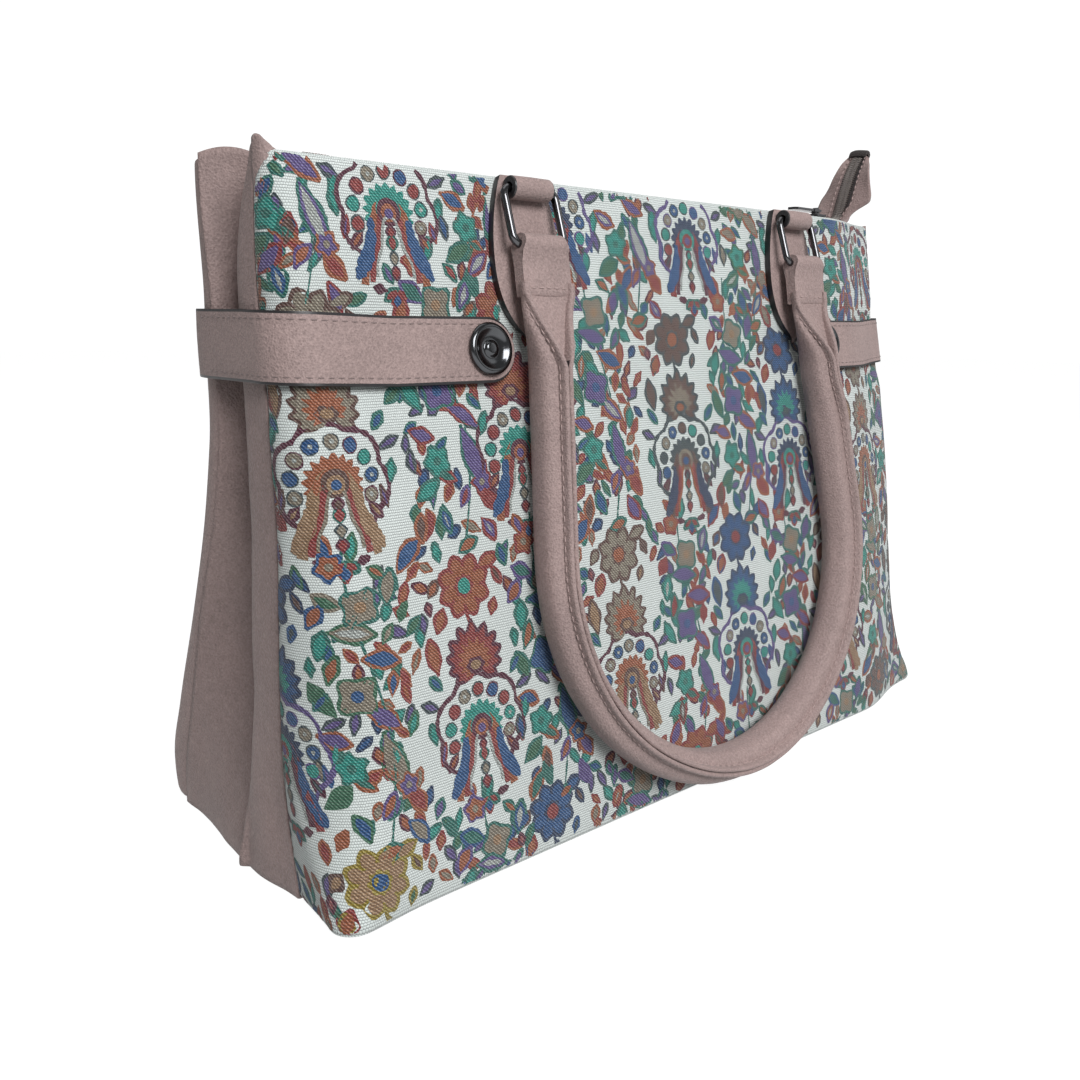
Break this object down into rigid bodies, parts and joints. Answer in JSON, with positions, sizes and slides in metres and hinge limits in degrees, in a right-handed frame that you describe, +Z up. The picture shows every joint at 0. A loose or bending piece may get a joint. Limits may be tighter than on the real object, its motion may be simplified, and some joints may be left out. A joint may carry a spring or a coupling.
{
  "type": "shoulder bag",
  "caption": "Boxy zip-top shoulder bag with woven tapestry front, faux-leather gussets, ringed tube handles and snap straps.",
  "frame": {"origin": "centre of the base's length, on the surface the bag stands on, below the zip line", "axes": "+X along the bag towards the zip tail, -Y out of the woven front, +Z up"},
  "size_m": [0.4348, 0.217, 0.3358],
  "materials": {
    "tapestry": "woven jacquard, matt",
    "mauve_leather": "fine grained faux leather, matt",
    "dark_leather": "dark folded tab, matt",
    "board": "plain stiffening board",
    "lining_cloth": "plain woven lining",
    "zip_tape": "dark woven tape with coil teeth",
    "black_nickel": "polished black nickel",
    "gunmetal": "satin gunmetal"
  },
  "bodies": {
    "bag": {"front_panel": "tapestry", "back_panel": "mauve_leather", "gusset_left": "mauve_leather", "gusset_right": "mauve_leather", "base_panel": "mauve_leather", "base_board": "board", "lining": "lining_cloth", "top_facing_front": "mauve_leather", "top_facing_back": "mauve_leather", "zip_wing_front": "mauve_leather", "zip_wing_back": "mauve_leather", "zip_tape_front": "zip_tape", "zip_tape_back": "zip_tape", "zip_tail_tab": "dark_leather", "snap_stud_left": "gunmetal", "snap_stud_right": "gunmetal", "ring_tab_front_left": "mauve_leather", "ring_tab_front_right": "mauve_leather", "ring_tab_back_left": "mauve_leather", "ring_tab_back_right": "mauve_leather"},
    "ring_front_left": {"ring_front_left": "black_nickel"},
    "ring_front_right": {"ring_front_right": "black_nickel"},
    "handle_front": {"handle_front": "mauve_leather"},
    "ring_back_left": {"ring_back_left": "black_nickel"},
    "ring_back_right": {"ring_back_right": "black_nickel"},
    "handle_back": {"handle_back": "mauve_leather"},
    "strap_left": {"strap_left": "mauve_leather", "snap_cap_left": "gunmetal", "snap_socket_left": "gunmetal"},
    "strap_right": {"strap_right": "mauve_leather", "snap_cap_right": "gunmetal", "snap_socket_right": "gunmetal"},
    "zip_slider": {"zip_slider": "black_nickel"},
    "zip_puller": {"zip_puller": "black_nickel"}
  },
  "joints": [
    {"name": "ring_front_left_swing", "type": "hinge", "parent": "bag", "child": "ring_front_left", "pos_m": [-0.095, -0.03503, 0.28244], "axis": [-1, 0, 0], "range_deg": [0, 150]},
    {"name": "ring_front_right_swing", "type": "hinge", "parent": "bag", "child": "ring_front_right", "pos_m": [0.095, -0.03503, 0.28244], "axis": [-1, 0, 0], "range_deg": [0, 150]},
    {"name": "handle_front_swing", "type": "hinge", "parent": "ring_front_left", "child": "handle_front", "pos_m": [-0.095, -0.04284, 0.25922], "axis": [-1, 0, 0], "range_deg": [0, 20]},
    {"name": "ring_back_left_swing", "type": "hinge", "parent": "bag", "child": "ring_back_left", "pos_m": [-0.095, 0.03709, 0.28199], "axis": [1, 0, 0], "range_deg": [0, 150]},
    {"name": "ring_back_right_swing", "type": "hinge", "parent": "bag", "child": "ring_back_right", "pos_m": [0.095, 0.03709, 0.28199], "axis": [1, 0, 0], "range_deg": [0, 150]},
    {"name": "handle_back_swing", "type": "hinge", "parent": "ring_back_left", "child": "handle_back", "pos_m": [-0.095, 0.04361, 0.25837], "axis": [1, 0, 0], "range_deg": [0, 20]},
    {"name": "strap_left_open", "type": "hinge", "parent": "bag", "child": "strap_left", "pos_m": [-0.19304, 0.04023, 0.216], "axis": [0.0415, 0.117, -0.9923], "range_deg": [0, 120]},
    {"name": "strap_right_open", "type": "hinge", "parent": "bag", "child": "strap_right", "pos_m": [0.19304, 0.04023, 0.216], "axis": [0.0415, -0.117, 0.9923], "range_deg": [0, 120]},
    {"name": "zip_slide", "type": "slide", "parent": "bag", "child": "zip_slider", "axis": [-1, 0, 0], "range_m": [0, 0.34]},
    {"name": "puller_flip", "type": "hinge", "parent": "zip_slider", "child": "zip_puller", "pos_m": [0.166, 0, 0.2945], "axis": [0, 1, 0], "range_deg": [0, 165]}
  ],
  "couplings": [
    {"joint": "ring_front_right_swing", "follows": "ring_front_left_swing", "ratio": 1},
    {"joint": "ring_back_right_swing", "follows": "ring_back_left_swing", "ratio": 1}
  ]
}
